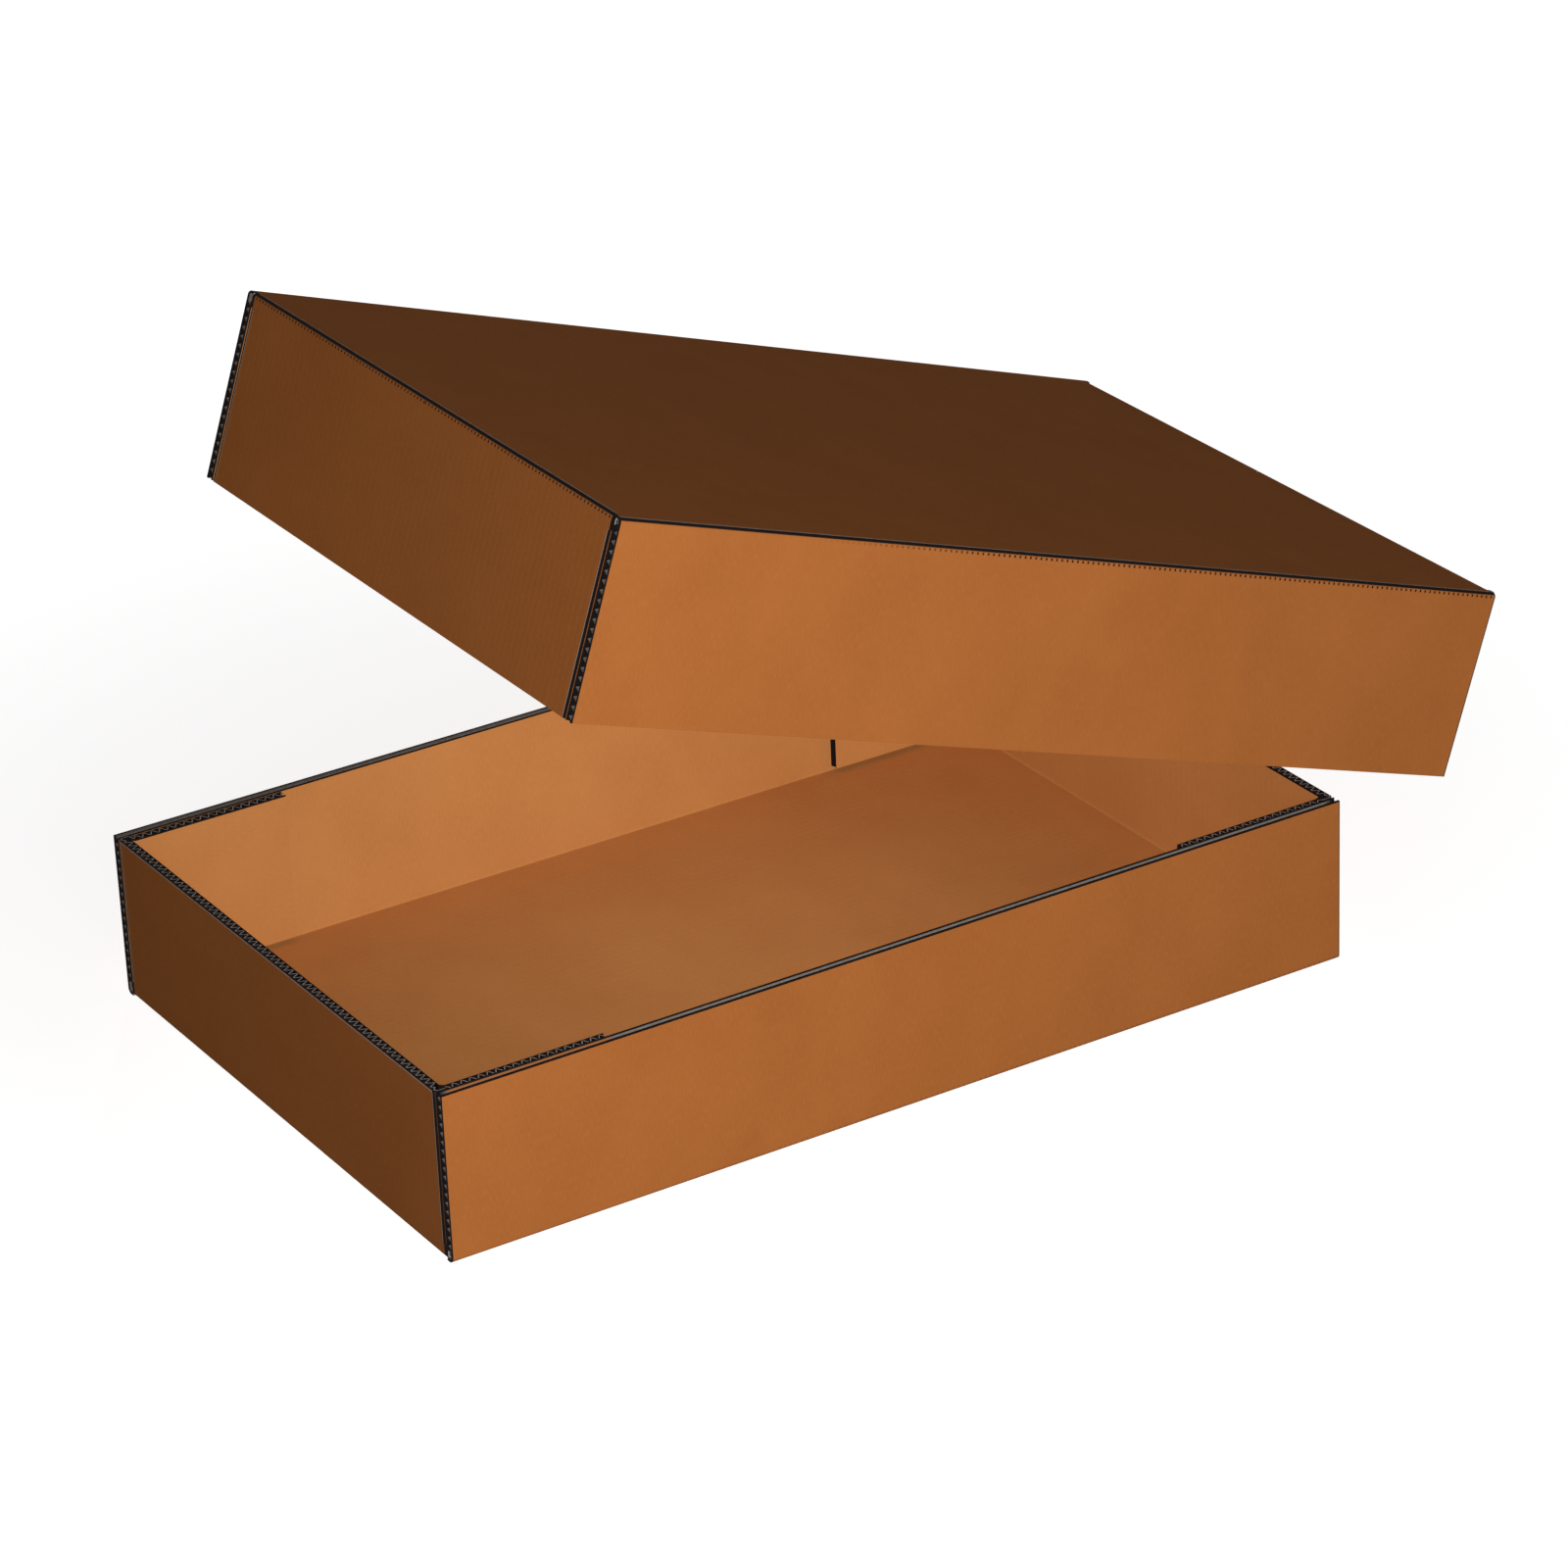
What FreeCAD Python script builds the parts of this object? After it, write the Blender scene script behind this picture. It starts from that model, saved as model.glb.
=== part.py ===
import FreeCAD, Part
import math
import os
from FreeCAD import Placement, Rotation, Vector

# Two-piece box of corrugated board: an open tray and a deeper lid that telescopes over it.
# Each half is one folded sheet: a main panel, two long walls, two end walls, and four glue
# flaps that turn in from the end walls and lie inside the long walls.
# The flutes run along the box in the flat sheet. Folded up, they stand in the end walls and
# flaps, open at the rims, and lie along the long walls, open at those walls' raw ends.
# Frame: X along the box, Y across it, Z up. The origin is the centre of the tray's underside.
# All sizes are in millimetres.

# Board: two liners with a fluted medium between them
board_thickness = 3.0
liner_thickness = 0.35
medium_thickness = 0.3
flute_pitch = 5.5

# Folds: radius on the outside, and the board beside each fold that the crease has pressed flat
crease_radius = 1.5
pressed_width = 2.0

# Tray, outside sizes
tray_length = 306.0
tray_width = 200.0
tray_height = 53.0

# Lid: its height, and the gap to the tray on each side when it is closed
lid_height = 58.0
lid_clearance = 0.5

# Glue flaps: reach from the outside of the end wall, drop below the rim, gap above the panel
flap_length = 55.0
flap_drop = 0.5
flap_foot_gap = 1.5

# Where the lifted lid stands: tilt about Y with its left end up, and the centre of its rim
lid_tilt = 19.0
lid_rim_x = 39.0
lid_rim_z = 104.5

# The lid goes over the tray's walls, and across the box its own flaps lie in between too
lid_length = tray_length + 2 * (lid_clearance + board_thickness)
lid_width = tray_width + 2 * (lid_clearance + 2 * board_thickness)

# Section of a flute channel: a trapezoid, wide on its liner and narrow under the medium's crest
channel_step = flute_pitch / 2
channel_depth = board_thickness - 2 * liner_thickness - medium_thickness
flank_run = flute_pitch / 4
medium_across = medium_thickness * math.hypot(channel_depth, flank_run) / channel_depth
channel_wide = channel_step - medium_across + flank_run
channel_narrow = channel_step - medium_across - flank_run


def block(low, high):
    """Box between two opposite corners."""
    size = high - low
    return Part.makeBox(size.x, size.y, size.z, low)


def round_edges(solid, radius, wanted):
    """Fillet the edges whose middle point passes the given test."""
    edges = [edge for edge in solid.Edges if wanted(edge.CenterOfMass)]
    return solid.makeFillet(radius, edges)


def channel(foot, along, out, run):
    """One flute channel, its trapezoid section extruded along the flute.

    foot is the middle of the section on its own liner, along points across the flutes and
    out from that liner into the board.
    """
    crest = foot + out * channel_depth
    corners = [
        foot - along * (channel_wide / 2),
        foot + along * (channel_wide / 2),
        crest + along * (channel_narrow / 2),
        crest - along * (channel_narrow / 2),
    ]
    return Part.Face(Part.makePolygon(corners + corners[:1])).extrude(run)


def channels(start, along, out, run, count):
    """Row of flute channels, one on the inner liner, the next on the outer, and so on.

    start is where the middle of the first one meets the board's inner face, and out points
    from there to the outer face.
    """
    row = []
    for place in range(count):
        inner = start + along * (place * channel_step)
        outer = inner + out * board_thickness
        if place % 2:
            row.append(channel(outer - out * liner_thickness, along, -out, run))
        else:
            row.append(channel(inner + out * liner_thickness, along, out, run))
    return row


def whole_channels(span):
    """How many channels lie whole in a stretch of board between two folds."""
    return int((span - channel_wide) / channel_step) + 1


def channels_from_cut(span):
    """How many channels lie in a stretch whose cut edge runs through the middle of the first."""
    return int((span - channel_wide / 2) / channel_step) + 1


def ends_and_panel(length, width, height):
    """Main panel with both end walls, from one long wall's inside to the other's.

    The folds to the end walls run across at the bottom, and the end walls' upright edges
    are the folds to the glue flaps, so all of these outer corners are rounded.
    """
    half_length = length / 2
    half_width = width / 2 - board_thickness
    outside = block(Vector(-half_length, -half_width, 0), Vector(half_length, half_width, height))
    slack = board_thickness / 100

    def is_fold(point):
        at_end = abs(point.x) > half_length - slack
        at_side = abs(point.y) > half_width - slack
        return at_end and (at_side or point.z < slack)

    outside = round_edges(outside, crease_radius, is_fold)
    inner_x = half_length - board_thickness
    hollow = block(Vector(-inner_x, -half_width, board_thickness), Vector(inner_x, half_width, height))
    return outside.cut(hollow)


def long_wall(length, width, height, side):
    """Wall along the box, with its raw ends flush with the outside of the end walls."""
    outer_y = side * width / 2
    inner_y = side * (width / 2 - board_thickness)
    low = Vector(-length / 2, min(outer_y, inner_y), 0)
    high = Vector(length / 2, max(outer_y, inner_y), height)
    slack = board_thickness / 100

    def is_fold(point):
        return point.z < slack and abs(point.y - outer_y) < slack

    return round_edges(block(low, high), crease_radius, is_fold)


def glue_flap(length, width, height, end, side):
    """Flap turned in from an end wall, glued to the inside of a long wall."""
    root_x = end * (length / 2 - board_thickness)
    tip_x = end * (length / 2 - flap_length)
    outer_y = side * (width / 2 - board_thickness)
    inner_y = side * (width / 2 - 2 * board_thickness)
    low = Vector(min(root_x, tip_x), min(outer_y, inner_y), board_thickness + flap_foot_gap)
    high = Vector(max(root_x, tip_x), max(outer_y, inner_y), height - flap_drop)
    return block(low, high)


def end_wall_flutes(length, width, height, end):
    """Flutes standing in an end wall, from the crease at its foot up through its rim."""
    foot = board_thickness + pressed_width
    count = whole_channels(width - 4 * board_thickness)
    start = Vector(end * (length / 2 - board_thickness), -(count - 1) * channel_step / 2, foot)
    run = Vector(0, 0, height - foot + board_thickness)
    return channels(start, Vector(0, 1, 0), Vector(end, 0, 0), run, count)


def flap_flutes(length, width, height, end, side):
    """Flutes standing in a glue flap, open at its foot and its rim, from its cut tip on."""
    foot = board_thickness + flap_foot_gap / 2
    count = channels_from_cut(flap_length - board_thickness - pressed_width)
    start = Vector(end * (length / 2 - flap_length), side * (width / 2 - 2 * board_thickness), foot)
    run = Vector(0, 0, height - foot + board_thickness)
    return channels(start, Vector(end, 0, 0), Vector(0, side, 0), run, count)


def long_wall_flutes(length, width, height, side):
    """Flutes lying along a long wall from one raw end to the other, from its cut rim down."""
    count = channels_from_cut(height - board_thickness - pressed_width)
    start = Vector(-length / 2 - board_thickness, side * (width / 2 - board_thickness), height)
    run = Vector(length + 2 * board_thickness, 0, 0)
    return channels(start, Vector(0, 0, -1), Vector(0, side, 0), run, count)


def folded_sheet(length, width, height):
    """One half of the box, panel down and open upwards, as a single glued-up sheet."""
    size = (length, width, height)
    sides = (-1, 1)
    pieces = [long_wall(*size, side) for side in sides]
    flutes = [flute for side in sides for flute in long_wall_flutes(*size, side)]
    for end in (-1, 1):
        pieces += [glue_flap(*size, end, side) for side in sides]
        flutes += [flute for side in sides for flute in flap_flutes(*size, end, side)]
        flutes += end_wall_flutes(*size, end)
    sheet = ends_and_panel(*size).fuse(pieces).removeSplitter()
    return sheet.cut(Part.makeCompound(flutes))


def save(name, shape):
    """Write one piece, after a check that it is a single sound solid."""
    solids = shape.Solids
    if len(solids) != 1 or not solids[0].isValid():
        raise ValueError(name + " is not one valid solid")
    solids[0].exportStep("parts/" + name + ".step")
    print(name, "volume", round(solids[0].Volume / 1000, 2), "cm3, faces", len(solids[0].Faces))


os.makedirs("parts", exist_ok=True)

tray = folded_sheet(tray_length, tray_width, tray_height)
save("tray", tray)

lid = folded_sheet(lid_length, lid_width, lid_height)
panel_up = Placement(Vector(0, 0, lid_height), Rotation(Vector(1, 0, 0), 180))
lifted = Placement(Vector(lid_rim_x, 0, lid_rim_z), Rotation(Vector(0, 1, 0), lid_tilt))
lid.Placement = lifted.multiply(panel_up)
save("lid", lid)
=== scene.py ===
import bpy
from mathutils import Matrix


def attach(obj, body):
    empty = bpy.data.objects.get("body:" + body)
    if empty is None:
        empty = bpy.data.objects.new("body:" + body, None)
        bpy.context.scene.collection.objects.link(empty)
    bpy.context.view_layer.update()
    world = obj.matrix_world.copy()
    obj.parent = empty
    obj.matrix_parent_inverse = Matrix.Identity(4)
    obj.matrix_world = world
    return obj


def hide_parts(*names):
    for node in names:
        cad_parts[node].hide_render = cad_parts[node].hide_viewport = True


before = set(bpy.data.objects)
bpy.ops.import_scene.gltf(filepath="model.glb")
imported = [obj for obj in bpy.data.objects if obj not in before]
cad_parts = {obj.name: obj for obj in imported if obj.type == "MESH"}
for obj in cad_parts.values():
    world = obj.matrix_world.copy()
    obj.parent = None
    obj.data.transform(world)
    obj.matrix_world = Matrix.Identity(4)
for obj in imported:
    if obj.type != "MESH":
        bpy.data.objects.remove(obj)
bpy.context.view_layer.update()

import math

import bpy
import numpy as np
from mathutils import Matrix, Vector

# Two-piece telescope box of single-wall corrugated board: an open tray and its lifted lid.
# Each half is one folded sheet, made here as the three papers that the board is glued from:
# the outer liner, the inner liner and the fluting between them. Lengths are in millimetres in
# the half's own frame, panel down and open upwards, until a piece is stood in its place.
MM = 0.001

# Board and its papers. The photo draws the flutes finer than 3 mm board has them, so their
# pitch is half that of the solids.
BOARD = 3.0
LINER = 0.35
MEDIUM = 0.3
FLUTE_PITCH = 2.75
FLUTE_STEPS = 8
FLUTE_SWING = (BOARD - 2 * LINER - MEDIUM) / 2

# Board that the crease presses flat beside each fold, and how deep its fluted paper lies there
PRESSED_WIDTH = 2.0
PRESSED_DEPTH = LINER + MEDIUM / 2

# Folds: radius on the outside and the inside of the box, how far past the round the close steps
# of the panel's folds go, and the steps of those, of the upright folds and of the fluted paper
CREASE_RADIUS = 1.5
INNER_RADIUS = 0.4
PAST_ROUND = 0.9
FOLD_STEPS = 23
CORNER_STEPS = 7
FLUTING_FOLD_STEPS = 4

# Scored line pressed into the outside: its place past the start of the panel's folds and of the
# upright folds at the corners, its width on each side and its depth
SCORE_PLACE = 0.95
CORNER_SCORE_PLACE = 0.35
SCORE_WIDTH = 0.35
SCORE_DEPTH = 0.15

# Glue flaps: reach from the outside of the end wall, drop below the rim, and foot
FLAP_LENGTH = 55.0
FLAP_DROP = 0.5
FLAP_FOOT = BOARD + 1.5

# Scorching beside the cut edges on the outer and inner liner, and deeper inside the open flutes
# scorching at the cut with painted shade further in: full up to the first distance, gone at the
# second
OUTER_SCORCH = (0.15, 0.5)
INNER_SCORCH = (0.3, 0.55)
FLUTE_SCORCH_AND_SHADE = (1.5, 4.0)

# Scorching of an end wall's foot beside the slots at its corners: the width over which it gets
# dark, and the way past the panel over which it starts
SLOT_SCORCH = 0.3
SLOT_SCORCH_START = 0.4

# Pale grey line, painted as a highlight on the panel's side of each scored line and drawn as a
# plain pale line beside a scorched rim: its place from a scorched rim, its place past a scored
# line, which is back on the panel's side, its half width where full and where gone, and its
# strength. An edge without it is given as a way to the cut that is past it.
PALE_LINE_FROM_RIM = 0.6
HIGHLIGHT_PAST_SCORE = -0.73
PALE_LINE_WIDTH = (0.08, 0.2)
PALE_LINE_STRENGTH = 0.9
PAST_PALE_LINE = 1.0

# Dark scored line, and the dashes beside it: half width where full and where gone, place past
# the scored line, pitch, the sine that a dash starts at and is full at, and the stretch along
# the box over which the dashes fade in
SCORED_WIDTH = (0.5, 0.7)
DASH_WIDTH = (0.3, 0.45)
DASH_PLACE = 1.2
DASH_PITCH = 1.86
DASH_SINE = (0.35, 0.7)
DASHES_FADE_IN = (-95.0, -30.0)

# Way to the nearest cut across open flutes, where there is none
FAR = 99.0

# The lifted lid: height, tilt about Y with its left end up, and the centre of its rim
LID_HEIGHT = 58.0
LID_TILT = 19.0
LID_RIM = (39.0, 0.0, 104.5)
panel_up = Matrix.Translation((0.0, 0.0, LID_HEIGHT)) @ Matrix.Rotation(math.pi, 4, "X")
tilted = Matrix.Translation(LID_RIM) @ Matrix.Rotation(math.radians(LID_TILT), 4, "Y")

# Outside length, width and height, the place, and how dark the scorching is beside the outer
# liner's rim and on the scored lines of the panel's folds
HALVES = {
    "tray": {
        "size": (306.0, 200.0, 53.0),
        "place": Matrix.Identity(4),
        "rim": 1.0,
        "scored": 0.2,
    },
    "lid": {
        "size": (313.0, 213.0, LID_HEIGHT),
        "place": tilted @ panel_up,
        "rim": 0.0,
        "scored": 1.0,
    },
}

# Columns of a paper's table of points: place, place on the flat blank, scorching together with
# the painted shade inside the flutes, the fold's three values, and the way to the nearest cut
# across open flutes
PLACE = slice(0, 3)
BLANK = slice(3, 5)
SCORCH_AND_SHADE_COLUMN = 5
FOLD = slice(6, 9)
TO_CUT = 9
POINTS_IN_MM = 100


def smooth(x):
    """Cubic step: 3x^2 - 2x^3 between 0 and 1, flat outside."""
    x = np.clip(x, 0, 1)
    return x * x * (3 - 2 * x)


def scorch_and_shade(distance, reach=OUTER_SCORCH):
    """Darkness at a distance from a cut edge, 1 near it and falling in a straight line to 0:
    scorching near the cut, and painted shade where its reach goes deep into the flutes.
    """
    full, end = reach
    return np.clip((end - distance) / (end - full), 0, 1)


def bend(s, corner, base, radius, depth=0.0):
    """Where a length s of board lies that goes round a right-angled fold.

    Before the fold, s < 0, it runs out at height base. Then it follows the quarter circle that
    touches that line and the upright at corner, and then it goes up: across = corner - radius
    + min(s, 0) + radius sin(s / radius), up = base + radius - radius cos(s / radius) + the rest.
    depth moves the point inwards, square to the surface.
    """
    turn = np.clip(s / radius, 0, math.pi / 2)
    across = corner - radius + np.minimum(s, 0) + (radius - depth) * np.sin(turn)
    up = base + radius - (radius - depth) * np.cos(turn)
    return across, up + np.maximum(s - radius * math.pi / 2, 0)


def patch(rows, columns, shape, flip=False):
    """Grid of quads over every pair of a row and a column value.

    shape gives whole arrays: x, y, z, flat place u and v on the blank, scorching together with
    the painted shade inside the flutes, the length along the nearest fold, the length past its
    scored line and how dark that line is, and the way to the nearest cut across open flutes. flip
    turns the quads to face the other way.
    """
    r, c = np.meshgrid(rows, columns, indexing="ij")
    values = np.stack([np.broadcast_to(v, r.shape).ravel() for v in shape(r, c)], axis=-1)
    index = np.arange(r.size).reshape(r.shape)
    around = [index[:-1, :-1], index[1:, :-1], index[1:, 1:], index[:-1, 1:]]
    quads = np.stack(around[::-1] if flip else around, axis=-1).reshape(-1, 4)
    return values, quads


def mirrored(part, axis):
    """The same patch on the other side: x and u, or y and v, change sign and the quads turn."""
    values, quads = part
    sign = np.ones(values.shape[1])
    sign[[axis, BLANK.start + axis]] = -1
    return values * sign, quads[:, ::-1]


def both_sides(part, axis):
    """A patch and its mirror image across x or y."""
    return [part, mirrored(part, axis)]


def four_quarters(part):
    """A patch of one quarter of the half, mirrored across x and then both across y."""
    return [copy for side in both_sides(part, 0) for copy in both_sides(side, 1)]


def weld(parts):
    """One mesh from all patches: points that round to the same hundredth of mm become one."""
    values = np.concatenate([part[0] for part in parts])
    starts = np.cumsum([0] + [len(part[0]) for part in parts[:-1]])
    quads = np.concatenate([part[1] + start for part, start in zip(parts, starts)])
    keys = np.round(values[:, PLACE] * POINTS_IN_MM).astype(np.int64)
    first, same = np.unique(keys, axis=0, return_index=True, return_inverse=True)[1:]
    return values[first], same.reshape(-1)[quads]


def steps(*stretches):
    """Parameter values over stretches given as (start, end, count), without repeats."""
    runs = [np.linspace(start, end, count) for start, end, count in stretches]
    return np.unique(np.round(np.concatenate(runs), 6))


def edge_steps(low, high, reach=OUTER_SCORCH):
    """Parameter values from one cut edge to another, with narrow strips for the scorching."""
    near = np.array([0, *reach])
    return np.concatenate([low + near, high - near[::-1]])


def rim_height(up, height):
    """The rim of an end wall at full height, dropping smoothly to the lower rim of its flap."""
    return height - FLAP_DROP * smooth((up - BOARD) / CREASE_RADIUS)


def liner(size, inset, radius, reach, rim_scorch, scored, corner_scored, flip):
    """One liner of a folded half, as its visible surface, inset from the outside of the box.

    Panel: a plane. Long walls: the profile of bend() carried along x. End walls: the same
    profile carried along y up to the flaps' foot. Above that, end wall, corner and glue flap
    are bend() again, lying down, with its upright leg along -x, carried up along z.
    reach is how far the scorching goes. The next three say how dark it is beside the rim, on
    the scored lines of the panel's folds and on those of the upright folds.
    """
    length, width, height = size
    half_length, half_width = length / 2, width / 2
    quarter = radius * math.pi / 2
    fold_x = half_length - inset - radius
    fold_y = half_width - inset - radius
    slot_y = min(half_width - BOARD, fold_y)
    corner_y = half_width - BOARD - inset - radius
    slot_scorch_y = corner_y + SLOT_SCORCH
    deep_x = half_length - FLUTE_SCORCH_AND_SHADE[1]
    rim = height - inset - radius + quarter
    foot = FLAP_FOOT - inset - radius + quarter
    tip = FLAP_LENGTH - inset - radius + quarter

    def score(s):
        """Depth of the scored line: a bell curve around its place past the fold's start."""
        if not scored:
            return 0.0
        return SCORE_DEPTH * np.exp(-((s - SCORE_PLACE) / SCORE_WIDTH) ** 2)

    def long_wall(x, s):
        """The profile from the panel to the rim, scorched beside the rim and the raw ends."""
        y, z = bend(s, half_width - inset, inset, radius, score(s))
        to_end = half_length - abs(x)
        dark = np.maximum(scorch_and_shade(rim - s, reach) * rim_scorch, scorch_and_shade(to_end, reach))
        fold = x, s - SCORE_PLACE, scored
        return x, y, z, x, fold_y + s, dark, *fold, np.maximum(to_end, PAST_PALE_LINE)

    def end_foot(s, y):
        """The profile up to the flaps' foot, darker in two straight ramps towards the slot."""
        x, z = bend(s, half_length - inset, inset, radius, score(s))
        dark = np.clip((y - corner_y) / (slot_scorch_y - corner_y), 0, 1)
        dark = dark * np.clip(s / SLOT_SCORCH_START, 0, 1) * corner_scored
        return x, y, z, fold_x + s, y, dark, y, s - SCORE_PLACE, scored, FAR

    def end_and_flap(drop, s):
        """End wall, round corner and glue flap at a drop below the rim, which sinks smoothly
        from wall to flap: the heights above the foot shrink in one proportion."""
        y, up = bend(s, half_width - BOARD - inset, inset, radius)
        part = (height - FLAP_FOOT - drop) / (height - FLAP_FOOT)
        z = FLAP_FOOT + part * (rim_height(up, height) - FLAP_FOOT)
        dark = scorch_and_shade(drop, reach) * rim_scorch
        fold = z, s - CORNER_SCORE_PLACE, corner_scored
        to_cut = np.maximum(np.minimum(drop, tip - s), PAST_PALE_LINE * (1 - rim_scorch))
        return half_length - up, y, z, fold_x + z, corner_y + s, dark, *fold, to_cut

    def panel(x, y):
        """The flat panel, x and y as they are."""
        return x, y, inset, x, y, 0, y, -SCORE_PLACE, 0, FAR

    ends = edge_steps(-half_length, half_length, reach)
    wall_x = np.unique(np.concatenate([ends, [-fold_x, -deep_x, deep_x, fold_x]]))
    near_cut = np.array([*reach[::-1], 0])
    around_fold = (0, quarter + PAST_ROUND, FOLD_STEPS)
    wall_s = np.concatenate([steps((slot_y - fold_y, 0, 2), around_fold), rim - near_cut])
    foot_s = steps(around_fold, (foot, foot, 1))
    foot_y = np.unique([0, corner_y, slot_scorch_y, slot_y])
    drops = edge_steps(0, height - FLAP_FOOT, reach)[::-1]
    flap_start = (quarter + 1, quarter + 5, 6)
    flap_s = steps((-corner_y, 0, 2), (0, quarter, CORNER_STEPS), flap_start)
    flap_s = np.concatenate([flap_s, tip - near_cut])
    panel_y = np.unique(np.concatenate([-foot_y, foot_y]))

    parts = both_sides(patch(wall_x, wall_s, long_wall, flip), 1)
    parts += four_quarters(patch(foot_s, foot_y, end_foot, flip))
    parts += four_quarters(patch(drops, flap_s, end_and_flap, flip))
    parts.append(patch([-fold_x, -deep_x, deep_x, fold_x], panel_y, panel, flip))
    return weld(parts)


def wave(length):
    """Depth of the fluting below the outer face: a cosine, next to the outer liner at 0."""
    return BOARD / 2 - FLUTE_SWING * np.cos(2 * math.pi * length / FLUTE_PITCH)


def flutes_between(low, high):
    """A stretch for steps(), close enough to draw each flute with FLUTE_STEPS pieces."""
    count = int(math.ceil((high - low) / FLUTE_PITCH * FLUTE_STEPS)) + 1
    return (low, high, count)


def fluting(size):
    """The fluted paper of a folded half, as its middle surface.

    Its depth in the board is wave(), across the flutes, faded to the pressed depth beside each
    fold. Flutes run along x in the panel and the long walls, and stand in end walls and flaps.
    """
    length, width, height = size
    half_length, half_width = length / 2, width / 2
    radius = CREASE_RADIUS
    quarter = radius * math.pi / 2
    fold_x = half_length - radius
    fold_y = half_width - radius
    slot_y = half_width - BOARD
    corner_y = slot_y - radius
    rim = height - radius + quarter
    foot = FLAP_FOOT - radius + quarter
    tip = FLAP_LENGTH - radius + quarter
    wall_start = BOARD - radius + quarter

    def depth(swing, fade):
        """The pressed depth at fade 0, the flutes' own depth at fade 1, smoothly between."""
        return PRESSED_DEPTH + (swing - PRESSED_DEPTH) * smooth(fade)

    def past_fold(s):
        """Length past a fold on either side, in widths of the pressed board."""
        return np.where(s < 0, -s, s - wall_start) / PRESSED_WIDTH

    def across_walls(y):
        """Depth of the flutes that lie side by side across the box, pressed at the corners."""
        return depth(wave(y), (corner_y - abs(y)) / PRESSED_WIDTH)

    def long_wall(x, s):
        """The profile from panel to rim, with flutes side by side up the wall. Its cut edge is
        dark, which the fold's darkness says here: 1 nearest the edge and 0 elsewhere."""
        inward = depth(wave(rim - s), (s - wall_start) / PRESSED_WIDTH)
        y, z = bend(s, half_width, 0, radius, inward)
        to_edge = np.minimum(rim - s, half_length - abs(x))
        return x, y, z, x, fold_y + s, scorch_and_shade(to_edge), x, 0, to_edge < OUTER_SCORCH[0], FAR

    def panel_and_foot(s, y):
        """Panel, fold and foot of an end wall, with the flutes pressed beside the fold."""
        inward = depth(across_walls(y), past_fold(s))
        x, z = bend(s, half_length, 0, radius, inward)
        return x, y, z, fold_x + s, y, 0, y, 0, 0, FAR

    def end_and_flap(z, s):
        """End wall, corner and glue flap at height z: bend() lying down, with standing flutes
        that are pressed at the corner. The rim sinks as the liners' does."""
        in_wall = depth(across_walls(corner_y + s), (z - BOARD) / PRESSED_WIDTH)
        in_flap = depth(wave(tip - s), past_fold(s))
        inward = np.where(s < 0, in_wall, np.where(s > quarter, in_flap, PRESSED_DEPTH))
        y, up = bend(s, slot_y, 0, radius, inward)
        along = half_length - np.where(s > quarter, radius + s - quarter, up)
        to_cut = np.minimum(height - z, tip - s)
        # Scorching at the cut, and painted shade deeper down inside the standing flutes
        dark = scorch_and_shade(to_cut, FLUTE_SCORCH_AND_SHADE)
        part = (z - FLAP_FOOT) / (height - FLAP_FOOT)
        z = FLAP_FOOT + part * (rim_height(half_length - along, height) - FLAP_FOOT)
        return along, y, z, fold_x + z, corner_y + s, dark, y, 0, 0, to_cut

    round_fold = (0, quarter, FLUTING_FOLD_STEPS)
    panel_s = [-fold_x, -PRESSED_WIDTH, -PRESSED_WIDTH / 2]
    foot_s = np.concatenate([panel_s, np.linspace(*round_fold), [wall_start, foot]])
    panel_y = steps(flutes_between(0, corner_y), (corner_y, slot_y, 2))
    in_panel = foot_s[foot_s <= 0] + fold_x
    ends = edge_steps(-half_length, half_length)
    wall_x = np.unique(np.concatenate([-in_panel, in_panel, ends]))
    wall_s = steps((-radius, 0, 2), round_fold, flutes_between(wall_start, rim))
    flap_s = steps(flutes_between(-corner_y, 0), round_fold, flutes_between(wall_start, tip))
    upright = [FLAP_FOOT, BOARD + PRESSED_WIDTH]
    upright += [height - FLUTE_SCORCH_AND_SHADE[1], height - FLUTE_SCORCH_AND_SHADE[0], height]

    parts = both_sides(patch(wall_x, wall_s, long_wall), 1)
    parts += four_quarters(patch(foot_s, panel_y, panel_and_foot))
    parts += four_quarters(patch(upright, flap_s, end_and_flap))
    return weld(parts)


def to_linear(code):
    """sRGB hex colour as linear red, green, blue and alpha."""
    parts = [int(code[at:at + 2], 16) / 255 for at in (1, 3, 5)]
    return [p / 12.92 if p <= 0.04045 else ((p + 0.055) / 1.055) ** 2.4 for p in parts] + [1.0]


def add_node(tree, kind, inputs, **settings):
    """Add a node with its settings and links, and give back its outputs.

    inputs gives sockets, by name or number, a plain value or another node's output.
    """
    made = tree.nodes.new("ShaderNode" + kind)
    for name, value in settings.items():
        setattr(made, name, value)
    for socket, value in inputs.items():
        if isinstance(value, bpy.types.NodeSocket):
            tree.links.new(value, made.inputs[socket])
        else:
            made.inputs[socket].default_value = value
    return made.outputs


def new_material(name):
    """An empty node material, and its tree."""
    material = bpy.data.materials.new(name)
    material.use_nodes = True
    tree = material.node_tree
    tree.nodes.clear()
    return material, tree


def layered(tree, base, *layers):
    """Colour of the base with the layers laid over it in turn, each by its own amount.

    In a Mix node, sockets 6 and 7 and output 2 are those for colours.
    """
    colour = to_linear(base)
    for amount, code in layers:
        inputs = {0: amount, 6: colour, 7: to_linear(code)}
        colour = add_node(tree, "Mix", inputs, data_type="RGBA")[2]
    return colour


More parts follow.
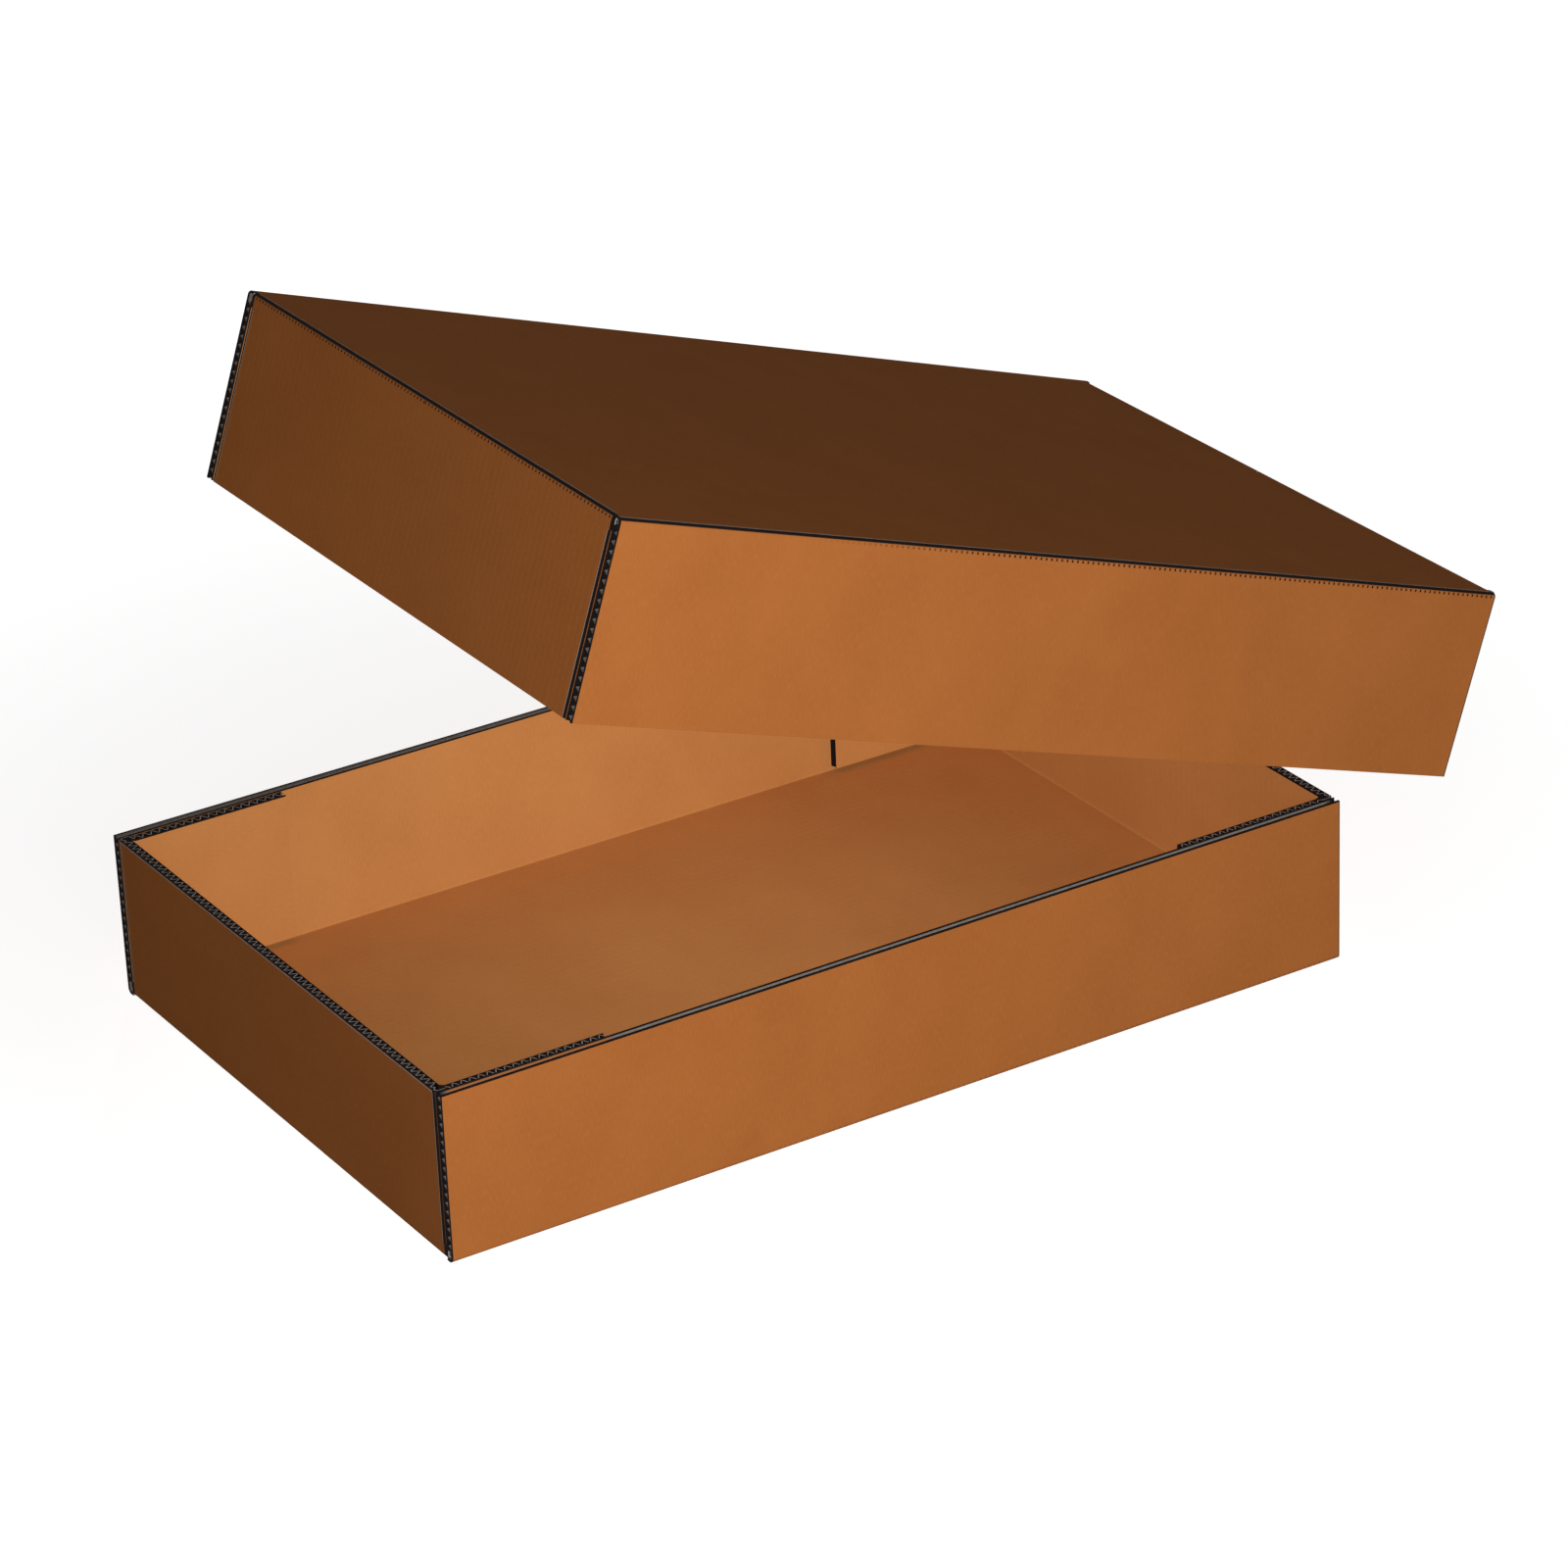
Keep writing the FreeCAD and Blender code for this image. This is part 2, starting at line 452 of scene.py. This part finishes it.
def stripe(tree, value, place, full, gone, most=1.0):
    """Most within the distance full of a place, falling in a straight line to 0 at gone."""
    off = add_node(tree, "Math", {0: value, 1: place}, operation="SUBTRACT")[0]
    off = add_node(tree, "Math", {0: off}, operation="ABSOLUTE")[0]
    inputs = {"Value": off, "From Min": gone, "From Max": full, "To Max": most}
    return add_node(tree, "MapRange", inputs)[0]


def fibres(tree, along, across, seed):
    """Noise on the flat blank in millimetres, drawn out along the run of the paper machine."""
    turned = add_node(tree, "Mapping", {
        "Vector": add_node(tree, "Attribute", {}, attribute_name="blank")["Vector"],
        "Location": (seed, seed, 0),
        "Scale": (1 / across, 1 / along, 1.0),
    })[0]
    inputs = {"Vector": turned, "Scale": 1.0, "Detail": 3.0, "Roughness": 0.6}
    return add_node(tree, "TexNoise", inputs)[0]


def finish_paper(tree, colour, height, roughness, relief):
    """Matt paper surface: the colour, and a bump as high as relief, in metres, where the
    height field is 1."""
    bump = add_node(tree, "Bump", {"Strength": 1.0, "Distance": relief, "Height": height})[0]
    surface = add_node(tree, "BsdfPrincipled", {
        "Base Color": colour,
        "Roughness": roughness,
        "IOR": 1.5,
        "Specular IOR Level": 0.05,
        "Normal": bump,
    })[0]
    add_node(tree, "OutputMaterial", {"Surface": surface})


# Near black of the scorching, also used for the painted shade inside the flutes
SCORCH_AND_SHADE_BLACK = "#1c1717"
# Pale grey of the painted highlight beside the scored folds, also used for the pale line beside
# the rim
PALE_LINE_GREY = "#c8c0b8"
BARE_KRAFT = "#a06a42"

# Bump of the kraft liners and of the plain papers, in metres
KRAFT_RELIEF = 0.00003
PAPER_RELIEF = 0.00004

# Strip beside the front left glue flap where the photo shows bare kraft colour: direction on
# the blank, 0 along it and 1 across it, and where on it the colour is gone and is full
BARE_STRIP = ((0, -97.0, -98.5), (0, -151.0, -149.0), (1, 0.0, -1.0))


def burn_marks(tree, strands):
    """How scorched a liner is, beside its cuts and on its scored lines.

    Beside a cut: the kept scorching with half the fibres' noise about 0 added, cut sharply, so
    that its edge is ragged. On a fold: the scored line, or the dashes where those are darker,
    times the fold's own darkness. The dashes are where the sine of the length along the fold
    is high, on a stripe past the scored line, faded in along the box.
    """
    burn_and_shade = add_node(tree, "Attribute", {}, attribute_name="scorch_and_shade")["Fac"]
    ragged = add_node(tree, "Math", {0: strands, 1: 0.5, 2: -0.25}, operation="MULTIPLY_ADD")[0]
    burn_and_shade = add_node(tree, "Math", {0: burn_and_shade, 1: ragged}, operation="ADD")[0]
    burn_and_shade = add_node(tree, "MapRange", {"Value": burn_and_shade, "From Min": 0.35, "From Max": 0.65})[0]

    fold = add_node(tree, "Attribute", {}, attribute_name="fold")["Vector"]
    along, past, darkness = add_node(tree, "SeparateXYZ", {"Vector": fold})
    turn = add_node(tree, "Math", {0: along, 1: 2 * math.pi / DASH_PITCH}, operation="MULTIPLY")
    beat = add_node(tree, "Math", {0: turn[0]}, operation="SINE")[0]
    dash = stripe(tree, past, DASH_PLACE, *DASH_WIDTH)
    for value, (none, full) in ((beat, DASH_SINE), (along, DASHES_FADE_IN)):
        shown = add_node(tree, "MapRange", {"Value": value, "From Min": none, "From Max": full})
        dash = add_node(tree, "Math", {0: dash, 1: shown[0]}, operation="MULTIPLY")[0]
    line = stripe(tree, past, 0.0, *SCORED_WIDTH)
    line = add_node(tree, "Math", {0: line, 1: dash}, operation="MAXIMUM")[0]
    line = add_node(tree, "Math", {0: line, 1: darkness}, operation="MULTIPLY")[0]
    return add_node(tree, "Math", {0: burn_and_shade, 1: line}, operation="MAXIMUM")[0]


def pale_lines(tree):
    """How pale grey a liner is: a thin stripe on the panel's side of its scored lines, a painted
    highlight on the fold's edge, and a pale line beside its scorched rim, the stronger of the two
    times the fold's own darkness."""
    fold = add_node(tree, "Attribute", {}, attribute_name="fold")["Vector"]
    past, darkness = add_node(tree, "SeparateXYZ", {"Vector": fold})[1:]
    to_cut = add_node(tree, "Attribute", {}, attribute_name="to_cut")["Fac"]
    by_score = stripe(tree, past, HIGHLIGHT_PAST_SCORE, *PALE_LINE_WIDTH, PALE_LINE_STRENGTH)
    by_rim = stripe(tree, to_cut, PALE_LINE_FROM_RIM, *PALE_LINE_WIDTH, PALE_LINE_STRENGTH)
    pale_share = add_node(tree, "Math", {0: by_score, 1: by_rim}, operation="MAXIMUM")[0]
    return add_node(tree, "Math", {0: pale_share, 1: darkness}, operation="MULTIPLY")[0]


def flute_trace(tree, strands):
    """Height of a liner's face: its fibres, and a quarter of the sine of the flutes below."""
    flat = add_node(tree, "Attribute", {}, attribute_name="blank")["Vector"]
    across = add_node(tree, "SeparateXYZ", {"Vector": flat})[1]
    turn = add_node(tree, "Math", {0: across, 1: 2 * math.pi / FLUTE_PITCH}, operation="MULTIPLY")
    swell = add_node(tree, "Math", {0: turn[0]}, operation="SINE")[0]
    return add_node(tree, "Math", {0: swell, 1: 0.25, 2: strands}, operation="MULTIPLY_ADD")[0]


def kraft_liner(name, base, dark, pale):
    """Unbleached kraft liner: matt brown paper of long wood fibres.

    The eye sees a nearly even brown with faint cloudiness a few centimetres wide, short fibres
    that are a little paler or darker, and a trace of the flutes underneath. Real fibres are
    about 3 mm long and too thin to show, so these are drawn half a millimetre wide. Cut edges
    and scored folds are scorched nearly black.
    """
    material, tree = new_material(name)
    clouds = fibres(tree, 46.0, 30.0, 3.0)
    strands = fibres(tree, 2.6, 0.45, 11.0)
    flecks = fibres(tree, 5.0, 0.5, 27.0)
    layers = []
    for noise, none, full, most, code in (
        (clouds, 0.3, 0.7, 1.0, dark),
        (strands, 0.45, 0.75, 0.35, pale),
        (flecks, 0.68, 0.78, 0.45, dark),
    ):
        inputs = {"Value": noise, "From Min": none, "From Max": full, "To Max": most}
        layers.append((add_node(tree, "MapRange", inputs)[0], code))
    # Pale grey stripes: a painted highlight beside the scored folds, and a pale line beside the
    # rim
    layers.append((pale_lines(tree), PALE_LINE_GREY))
    layers.append((burn_marks(tree, strands), SCORCH_AND_SHADE_BLACK))
    colour = layered(tree, base, *layers)
    finish_paper(tree, colour, flute_trace(tree, strands), 0.82, KRAFT_RELIEF)
    return material


def bare_strip(tree):
    """1 on the strip beside the front left glue flap: the least of the ramps at its limits."""
    flat = add_node(tree, "Attribute", {}, attribute_name="blank")["Vector"]
    directions = add_node(tree, "SeparateXYZ", {"Vector": flat})
    least = 1.0
    for direction, gone, full in BARE_STRIP:
        inputs = {"Value": directions[direction], "From Min": gone, "From Max": full}
        ramp = add_node(tree, "MapRange", inputs)[0]
        least = add_node(tree, "Math", {0: least, 1: ramp}, operation="MINIMUM")[0]
    return least


def plain_paper(name, base, dark, roughness, burnt_and_shaded_by=None):
    """Paper of the given two close colours, cloudy on the scale of its fibres, about 1 mm.

    The last argument says how it is darkened: by the kept scorching, which on the fluting also
    holds painted shade inside the flutes; by that or a painted shade ramp towards the nearest cut
    across the open flutes, whichever is more; or by the darkness of the fold. The first two are
    bare kraft on the strip beside the front left glue flap.
    """
    material, tree = new_material(name)
    place = add_node(tree, "TexCoord", {})["Object"]
    noise = add_node(tree, "TexNoise", {"Vector": place, "Scale": 900.0, "Detail": 3.0})[0]
    cloudy = add_node(tree, "MapRange", {"Value": noise, "From Min": 0.35, "From Max": 0.65})[0]
    layers = [(cloudy, dark)]
    if burnt_and_shaded_by in ("scorch_and_shade", "to_cut"):
        layers.append((bare_strip(tree), BARE_KRAFT))
        burn_and_shade = add_node(tree, "Attribute", {}, attribute_name="scorch_and_shade")["Fac"]
    if burnt_and_shaded_by == "to_cut":
        # Painted shade inside the open flutes: full near a cut across them, fading further in
        full, gone = FLUTE_SCORCH_AND_SHADE
        to_cut = add_node(tree, "Attribute", {}, attribute_name="to_cut")["Fac"]
        ramp = add_node(tree, "MapRange", {"Value": to_cut, "From Min": gone, "From Max": full})
        burn_and_shade = add_node(tree, "Math", {0: burn_and_shade, 1: ramp[0]}, operation="MAXIMUM")[0]
    if burnt_and_shaded_by == "fold":
        fold = add_node(tree, "Attribute", {}, attribute_name="fold")["Vector"]
        burn_and_shade = add_node(tree, "SeparateXYZ", {"Vector": fold})[2]
    if burnt_and_shaded_by:
        layers.append((burn_and_shade, SCORCH_AND_SHADE_BLACK))
    finish_paper(tree, layered(tree, base, *layers), noise, roughness, PAPER_RELIEF)
    return material


# Outer kraft liner, and the paler one inside the box: partly a paler liner, and partly painted
# light that brightens the inside of the tray
OUTER = kraft_liner("kraft_liner_outside", "#b46c36", "#ac6632", "#c07b45")
INNER = kraft_liner("kraft_liner_inside", "#c3854c", "#bc7e46", "#cd925a")
# Grey waste-paper ply that backs both liners, seen in the open flutes, scorched beside the cuts
# and darkened deeper in by painted shade
BACKING = plain_paper("liner_backing_ply_grey", "#857e77", "#79726c", 0.9, "to_cut")
# Waste-based fluting paper, scorched beside the rims and darkened deeper inside the flutes by
# painted shade, and its cut edge, ashy on the flutes
FLUTED = plain_paper("recycled_fluting_grey", "#706a64", "#625c57", 0.9, "scorch_and_shade")
FLUTE_CUT = plain_paper("fluting_cut_edge_ashy", "#b4ada6", "#958e87", 0.9, "fold")
# Cut edge of the liners, scorched nearly black
CUT = plain_paper("liner_cut_edge_scorched", "#201a19", "#151110", 0.75)


def paper_piece(name, half, sheet, thickness, offset, faces, edges, back):
    """Mesh object of one paper of a half, thickened by Solidify from its surface.

    The materials are those of the surface, of its cut edges and of the side behind it.
    """
    values, quads = sheet
    place = np.array(HALVES[half]["place"])
    points = (values[:, PLACE] @ place[:3, :3].T + place[:3, 3]) * MM
    mesh = bpy.data.meshes.new(name)
    mesh.from_pydata(points.tolist(), [], quads.tolist())
    flat = np.column_stack([values[:, BLANK], np.zeros(len(values))])
    for title, column in (("blank", flat), ("fold", values[:, FOLD])):
        vectors = mesh.attributes.new(title, "FLOAT_VECTOR", "POINT")
        vectors.data.foreach_set("vector", column.ravel())
    for title, column in (("scorch_and_shade", values[:, SCORCH_AND_SHADE_COLUMN]), ("to_cut", values[:, TO_CUT])):
        numbers = mesh.attributes.new(title, "FLOAT", "POINT")
        numbers.data.foreach_set("value", column)
    for material in (faces, edges, back):
        mesh.materials.append(material)
    mesh.update()
    piece = bpy.data.objects.new(name, mesh)
    bpy.context.scene.collection.objects.link(piece)
    wall = piece.modifiers.new("paper thickness", "SOLIDIFY")
    wall.thickness = thickness * MM
    wall.offset = offset
    wall.use_even_offset = True
    wall.material_offset_rim = 1
    wall.material_offset = 2
    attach(piece, half)
    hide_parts(half)


for half, facts in HALVES.items():
    size = facts["size"]
    outside = liner(size, 0.0, CREASE_RADIUS, OUTER_SCORCH, rim_scorch=facts["rim"],
                    scored=facts["scored"], corner_scored=1.0, flip=True)
    inside = liner(size, BOARD, INNER_RADIUS, INNER_SCORCH, rim_scorch=1.0,
                   scored=0.0, corner_scored=0.0, flip=False)
    paper_piece(half + "_outer_liner", half, outside, LINER, -1.0, OUTER, CUT, BACKING)
    paper_piece(half + "_inner_liner", half, inside, LINER, -1.0, INNER, CUT, BACKING)
    paper_piece(half + "_fluting", half, fluting(size), MEDIUM, 0.0, FLUTED, FLUTE_CUT, FLUTED)


# Camera at the photo's angle: 31 degrees to the left of the front, 26 degrees above the floor,
# with its place in metres, and its lens in pixels of the photo's frame
AZIMUTH = math.radians(31.19)
ELEVATION = math.radians(25.823)
ROLL_SLOPE = 0.03884
CAMERA_PLACE = (-0.80152, -1.35898, 0.82681)
LENS_PIXELS = 6022.17
FRAME_PIXELS = 1600


def camera_axes():
    """Right, down and forward of the camera, from its azimuth, elevation and small roll."""
    turn = np.array([math.cos(AZIMUTH), -math.sin(AZIMUTH), 0.0])
    ahead = np.array([
        math.sin(AZIMUTH) * math.cos(ELEVATION),
        math.cos(AZIMUTH) * math.cos(ELEVATION),
        -math.sin(ELEVATION),
    ])
    below = np.cross(ahead, turn)
    slope = ROLL_SLOPE / math.cos(ELEVATION)
    right = math.sqrt(1 - slope ** 2) * turn + slope * below
    return right, np.cross(ahead, right), ahead


right, down, ahead = camera_axes()
lens = bpy.data.cameras.new("photo_camera")
lens.sensor_fit = "HORIZONTAL"
lens.sensor_width = 36.0
lens.lens = LENS_PIXELS / FRAME_PIXELS * lens.sensor_width
lens.clip_end = 20.0
camera = bpy.data.objects.new("photo_camera", lens)
axes = Matrix((right, -down, -ahead)).transposed().to_4x4()
camera.matrix_world = Matrix.Translation(Vector(CAMERA_PLACE)) @ axes
bpy.context.scene.collection.objects.link(camera)
bpy.context.scene.camera = camera


# Lamps: name, place, the point it faces, power in watts, width, and whether it casts shadows.
# The key light comes from the front left, a weak one from low behind, and one from under the
# lid lights the tray.
KEY_PLACE = (-0.4259, -1.0842, 0.4591)
MIDDLE = (0.0, 0.0, 0.07)
LAMPS = (
    ("key_even", KEY_PLACE, MIDDLE, 12.0, 0.2, False),
    ("key_soft", KEY_PLACE, MIDDLE, 0.8, 0.5, True),
    ("fill_behind", (0.6, 1.25, 0.06), MIDDLE, 6.5, 0.1, True),
    ("tray_fill", (0.0, 0.0, 0.105), (0.0, 0.0, 0.0), 0.045, 0.18, False),
)

# Even light from all round, as a share of white
WORLD_LIGHT = 0.015
WHITE = "#ffffff"

# Floor: half its width, its level, its colour to the light, and its glow under the box and past
# the box's surroundings, with the distances at which these start and end
FLOOR_REACH = 3.0
FLOOR_LEVEL = -0.0003
FLOOR_GREY = "#606060"
FLOOR_GLOW = (0.64, 1.0)
FLOOR_GLOW_RISE = (0.2, 0.6)


def soft_lamp(name, place, aim, power, width, shadow):
    """Round area lamp that faces the given point and isn't seen itself."""
    data = bpy.data.lights.new(name, "AREA")
    data.shape = "DISK"
    data.size = width
    data.energy = power
    data.use_shadow = shadow
    lamp = bpy.data.objects.new(name, data)
    lamp.location = place
    lamp.rotation_euler = (Vector(aim) - Vector(place)).to_track_quat("-Z", "Y").to_euler()
    lamp.visible_camera = False
    lamp.visible_glossy = False
    bpy.context.scene.collection.objects.link(lamp)


def looked_at(tree):
    """1 for a ray of the camera, a reflection or a see-through surface, and 0 for the light
    that falls on the box."""
    rays = add_node(tree, "LightPath", {})
    seen = rays["Is Camera Ray"]
    for other in ("Is Glossy Ray", "Is Transmission Ray"):
        seen = add_node(tree, "Math", {0: seen, 1: rays[other]}, operation="MAXIMUM")[0]
    return seen


def make_world():
    """Dim even light all round; white where the camera and reflections look past the box."""
    world = bpy.data.worlds.new("studio")
    world.use_nodes = True
    tree = world.node_tree
    tree.nodes.clear()
    dim, white = [
        add_node(tree, "Background", {"Color": to_linear(WHITE), "Strength": strength})[0]
        for strength in (WORLD_LIGHT, 1.0)
    ]
    both = add_node(tree, "MixShader", {0: looked_at(tree), 1: dim, 2: white})[0]
    add_node(tree, "OutputWorld", {"Surface": both})
    bpy.context.scene.world = world


def make_floor():
    """White floor that shows white to the camera and still takes the box's soft shadow.

    It glows a little less near the box, where the lamps light it, and fully further out.
    """
    far = FLOOR_REACH
    corners = [(-far, -far), (far, -far), (far, far), (-far, far)]
    mesh = bpy.data.meshes.new("floor")
    mesh.from_pydata([(x, y, FLOOR_LEVEL) for x, y in corners], [], [(0, 1, 2, 3)])
    material, tree = new_material("floor_white_matt")
    seen = looked_at(tree)
    paint = add_node(tree, "BsdfDiffuse", {"Color": layered(tree, FLOOR_GREY, (seen, WHITE))})[0]
    place = add_node(tree, "TexCoord", {})["Object"]
    distance = add_node(tree, "VectorMath", {0: place}, operation="LENGTH")["Value"]
    glow = add_node(tree, "MapRange", {
        "Value": distance,
        "From Min": FLOOR_GLOW_RISE[0],
        "From Max": FLOOR_GLOW_RISE[1],
        "To Min": FLOOR_GLOW[0],
        "To Max": FLOOR_GLOW[1],
    })[0]
    glow = add_node(tree, "Math", {0: seen, 1: glow}, operation="MULTIPLY")[0]
    glow = add_node(tree, "Emission", {"Strength": glow})[0]
    both = add_node(tree, "AddShader", {0: paint, 1: glow})[0]
    add_node(tree, "OutputMaterial", {"Surface": both})
    mesh.materials.append(material)
    floor = bpy.data.objects.new("floor", mesh)
    bpy.context.scene.collection.objects.link(floor)


for lamp in LAMPS:
    soft_lamp(*lamp)
make_world()
make_floor()
bpy.context.scene.view_settings.view_transform = "Standard"
